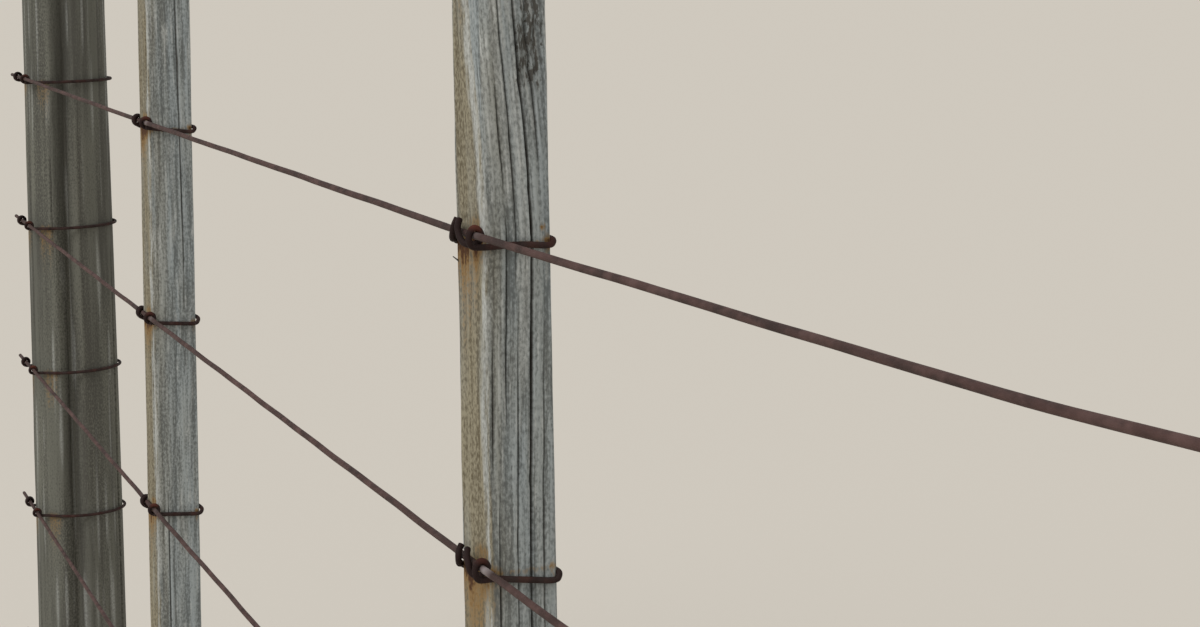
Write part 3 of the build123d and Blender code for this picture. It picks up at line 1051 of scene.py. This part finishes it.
def build_line_wire(name, line, seed):
    """Straight between its bends, with a wobble of a third of a millimetre. Just past each tie's
    near turn is a soft pale patch: partly rust rubbed off to bare steel, and at the listed
    spots of the main dropper a painted highlight. A soft bend of the wire is a bell, eased to
    nothing before the next tie."""
    x = packed(line[0, 0], line[-1, 0], 520, line[1:-1, 0], reach=0.02, gain=6)
    rng = np.random.default_rng(seed)
    wobble = [
        sum(
            rng.uniform(0.00003, 0.0001) * np.sin(2 * np.pi * x / length + rng.uniform(0, 6))
            for length in (0.11, 0.23, 0.41)
        )
        for _ in range(2)
    ]
    middle, width, rise = soft_bends.get(name, (0.0, 1.0, 0.0))
    bend_up = rise * bell(x - middle, width) * (1 - ease_step(x, middle + 0.1, middle + 0.19))
    route = np.stack([x, wire_y + wobble[0], wire_height(line, x) + wobble[1] + bend_up], axis=-1)
    swell = wire_radius + 0.00004 * np.sin(x * 900) * np.sin(x * 370)
    bare_and_highlight, deep = np.zeros(len(x)), np.zeros(len(x))
    for bend in line[1:-1, 0]:
        place, strength = bend + pale_patch_at, rng.uniform(0.1, 0.4)
        if name in highlight_spots and abs(bend - highlight_spots[name][0]) < 0.2:
            place, strength = highlight_spots[name]
        bare_and_highlight += strength * bell(x - place, pale_patch_width)
        deep += 0.6 * bell(x - bend, 0.09) * (1 - 0.5 * ease_step(x, bend, bend + 0.1))
    marks = {
        label: with_ends(np.repeat(values[:, None], wire_sides, 1))
        for label, values in (("bare_and_highlight", bare_and_highlight), ("deep", deep))
    }
    mesh = skin_mesh(name, [tube_rings(route, swell, wire_sides)], marks=marks)
    place_piece(name + "_rusty", mesh, name, line_rust)


for number, (name, line) in enumerate(wires.items()):
    build_line_wire(name, line, 70 + number)

# %% [markdown]
# ## Ties
# Each tie is one short wire. It starts on the far side with two turns round the line wire,
# goes back along the dropper, across behind it a little higher, forward along the near side
# and ends in one turn. The turns are tight and slanting, as pliers leave them.

# %% Corners of a tie's route
TIE_RADIUS = 0.001775
TURN_RADIUS = 0.0046
STAND_OFF = TIE_RADIUS + 0.0002
POST_LOOP_START = 36
POST_LOOP_CORNERS = 16


def turn_corners(line, x_start, way, turns, pitch, slant):
    """Six corners a turn round the line wire: angle a from straight below, over the front,
    at the turn's radius times (sin a, cos a), while x moves on by the pitch."""
    step = np.arange(turns * 6 + 1)
    angle = step * np.pi / 3
    x = x_start + way * pitch * step / 6 + slant * np.sin(angle)
    y = wire_y - TURN_RADIUS * np.sin(angle)
    z = wire_height(line, x) - TURN_RADIUS * np.cos(angle)
    return np.stack([x, y, z], axis=-1)


def dropper_at(size, level):
    """The middle of a dropper at a level."""
    grain = size["axes"][2]
    return size["foot"] + grain * (level - size["foot"][2]) / grain[2]


def dropper_loop(size, line, tie):
    """Corners of the loop behind a dropper, in its own axes, from far side to near. Each
    side leg starts below the turns by start, bows up by bow, sinks by drop and hooks up at
    the back by rise."""
    start, drop, bow, rise = (tie[part] for part in ("start", "drop", "bow", "rise"))
    w, d = size["half_width"], size["half_depth"]
    side, back = w + STAND_OFF, d + STAND_OFF
    cut = STAND_OFF * (1 - np.cos(np.pi / 4))
    level = wire_height(line, size["foot"][0]) - TURN_RADIUS
    level = wire_height(line, dropper_at(size, level)[0]) - TURN_RADIUS
    half = np.array([
        (side, 0.002 - d, -start),
        (side, -0.3 * d, -start - 0.35 * drop + bow),
        (side, 0.3 * d, -start - 0.65 * drop + bow),
        (side, d - 0.001, -start - drop),
        (side - cut, back - cut, -start - drop + 0.55 * rise),
        (w - 0.001, back, -start - drop + rise),
    ])
    loop = np.concatenate([half * [-1, 1, 1], half[::-1]])
    level_axes = [*unit(size["axes"][:2] * [1, 1, 0]), [0, 0, 1]]
    return dropper_at(size, level) + loop @ level_axes


def post_loop(size, line, rise):
    """Corners of the loop round a post, at even bearings from far side to near."""
    level = wire_height(line, size["x"]) - TURN_RADIUS
    radius = post_radius(size, level)
    bearing = np.radians(np.linspace(POST_LOOP_START, 360 - POST_LOOP_START, POST_LOOP_CORNERS))
    reach = (radius + STAND_OFF) / np.cos((bearing[1] - bearing[0]) / 2)
    x = size["x"] - reach * np.sin(bearing)
    y = size["front"] + radius - reach * np.cos(bearing)
    z = level + rise / 2 * (1 - np.cos(bearing))
    return np.stack([x, y, z], axis=-1)


# %% Build the ties
TIE_SIDES = 12
TIE_RANGES = {
    "pitch": (0.0039, 0.0045),
    "slant": (0.0008, 0.0016),
    "start": (0.0, 0.001),
    "drop": (0.002, 0.005),
    "rise": (0.003, 0.0055),
    "far_gap": (0, 0.0006),
}
placed_ties = {
    ("dropper_2", 4): {
        "start": 0.0019, "drop": 0.0012, "bow": 0.0010, "rise": 0.0036,
        "far": [
            (-13.0, 0.4, -4.9), (-7.4, -2.8, -4.6), (-1.6, -4.2, -0.4), (0.6, -4.0, 3.8), (1.4, -2.4, 7.4),
        ],
        "near": [
            (26.4, 0.6, -6.2), (29.0, -3.2, -5.2), (29.2, -4.5, -0.6), (27.8, -2.6, 3.6),
            (26.2, 0.6, 4.4), (24.8, 4.0, 1.4), (23.6, 4.0, -2.8), (21.4, 0.6, -5.4),
            (17.2, -3.4, -5.0), (11.6, -4.6, -1.0), (7.8, -4.3, 3.4), (4.9, -2.2, 7.0),
        ],
    },
    ("dropper_2", 3): {
        "start": 0.0024, "drop": 0.0056, "bow": 0.0, "rise": 0.0048,
        "far": [
            (-13.0, 0.4, -5.2), (-8.0, -2.8, -4.8), (-3.8, -4.3, -0.4), (-4.6, -4.0, 3.4), (-6.2, -1.8, 6.4),
        ],
        "near": [
            (24.6, 0.8, -7.0), (27.4, -3.0, -5.8), (27.8, -4.5, -0.8), (27.2, -2.8, 3.4),
            (26.2, 0.4, 4.3), (24.6, 3.9, 1.4), (22.0, 4.0, -3.0), (18.6, 0.8, -5.8),
            (15.8, -2.8, -5.4), (14.6, -4.0, -0.2), (10.6, -3.9, 4.0), (6.2, -2.0, 6.6),
        ],
    },
}


def placed_turns(size, line, offsets):
    """Corners given in millimetres from the line wire: along it from the dropper's middle,
    then outward and up from the wire at that place."""
    x, y, z = np.array(offsets).T * MILLIMETRE
    x = x + dropper_at(size, line[:, 2].mean())[0]
    return np.stack([x, wire_y + y, wire_height(line, x) + z], axis=-1)


def tie_corners(upright, line, tie):
    """Corners of one tie's whole route: far turns, the loop, near turns."""
    if upright in posts:
        loop = post_loop(posts[upright], line, tie["rise"])
    else:
        loop = dropper_loop(droppers[upright], line, tie)
    if "far" in tie:
        far, near = (placed_turns(droppers[upright], line, tie[end]) for end in ("far", "near"))
    else:
        far = turn_corners(line, loop[0, 0], -1, 2, tie["pitch"] + tie["far_gap"], tie["slant"])
        near = turn_corners(line, loop[-1, 0], 1, 1, tie["pitch"], tie["slant"])
    return np.concatenate([far[::-1], loop, near])


def build_ties(upright, seed):
    """All six ties of one upright as one mesh of six separate wires. A tie is redder over
    the top of its near turn, and darker all round the line wire."""
    rng = np.random.default_rng(seed)
    ties = []
    for row, line in enumerate(wires.values()):
        tie = {label: rng.uniform(*reach) for label, reach in TIE_RANGES.items()} | {"bow": 0.0}
        tie.update(placed_ties.get((upright, row), {}))
        ties.append((line, tie_corners(upright, line, tie)))
    skins, marks = [], {"flush": [], "deep": []}
    for line, corners in ties:
        route = rounded_route(corners, steps=7)
        skins.append(tube_rings(route, TIE_RADIUS, TIE_SIDES))
        x, y, z = route.T
        above = z - wire_height(line, x)
        near_turn = x > (corners[:, 0].min() + corners[:, 0].max()) / 2 + 0.016
        flush = ease_step(above, 0.0015, 0.005) * near_turn * rng.uniform(0.3, 0.8)
        deep = 0.8 * (1 - ease_step(np.hypot(y - wire_y, above), 0.0052, 0.011))
        for label, values in (("flush", flush), ("deep", deep)):
            marks[label].append(np.append(np.repeat(values, TIE_SIDES), [0, 0]))
    marks = {label: np.concatenate(values) for label, values in marks.items()}
    node = "ties_" + upright
    place_piece(node + "_twisted", skin_mesh(node, skins, marks=marks), node, tie_rust)


for number, upright in enumerate(["post_a", *droppers, "post_b"]):
    build_ties(upright, 90 + number)

# %% [markdown]
# ## Floor, light and camera
# The picture is taken from just below the top wire's height, looking a little down along
# the fence, so only floor lies behind it, and the floor has to run on a long way.

# %% Floor
floor_mesh = bpy.data.meshes.new("floor")
floor_reach = 400.0
corners = [(x * floor_reach, y * floor_reach, -MILLIMETRE) for x, y in ((-1, -1), (1, -1), (1, 1), (-1, 1))]
floor_mesh.from_pydata(corners, [], [(0, 1, 2, 3)])
floor = add_object("floor", floor_mesh)
floor_paint, floor_shader = principled("pale floor")
feed(floor_shader, {"Base Color": FLOOR_PALE, "Roughness": 0.95, "Specular IOR Level": 0.0})
floor_mesh.materials.append(floor_paint)
print("floor:", 2 * floor_reach, "m wide")

# %% Light: an even pale sky and one broad soft lamp from the wires' side
world = bpy.data.worlds.new("even sky")
bpy.context.scene.world = world
world.use_nodes = True
feed(world.node_tree.nodes["Background"], {"Color": (1.0, 0.99, 0.97, 1), "Strength": 0.62})
sun = bpy.data.lights.new("soft key", "SUN")
sun.energy = 1.5
sun.angle = 0.6
key = add_object("soft key", sun)
key.rotation_euler = (np.radians(50), 0, np.radians(28))
print("lamp strength:", sun.energy)

# %% Camera
camera = bpy.data.cameras.new("camera")
camera.sensor_width = 36
camera.lens = 80.7
camera.clip_start = 0.01
camera.clip_end = 2000
eye = add_object("camera", camera)
eye.location = (3.271, -0.4482, 1.074)
looks_down, off_the_fence = 7.55, 18.92
eye.rotation_euler = (np.radians(90 - looks_down), 0, np.radians(90 - off_the_fence))
bpy.context.scene.camera = eye
bpy.context.scene.view_settings.view_transform = "Standard"
print("camera at", tuple(round(v, 3) for v in eye.location))
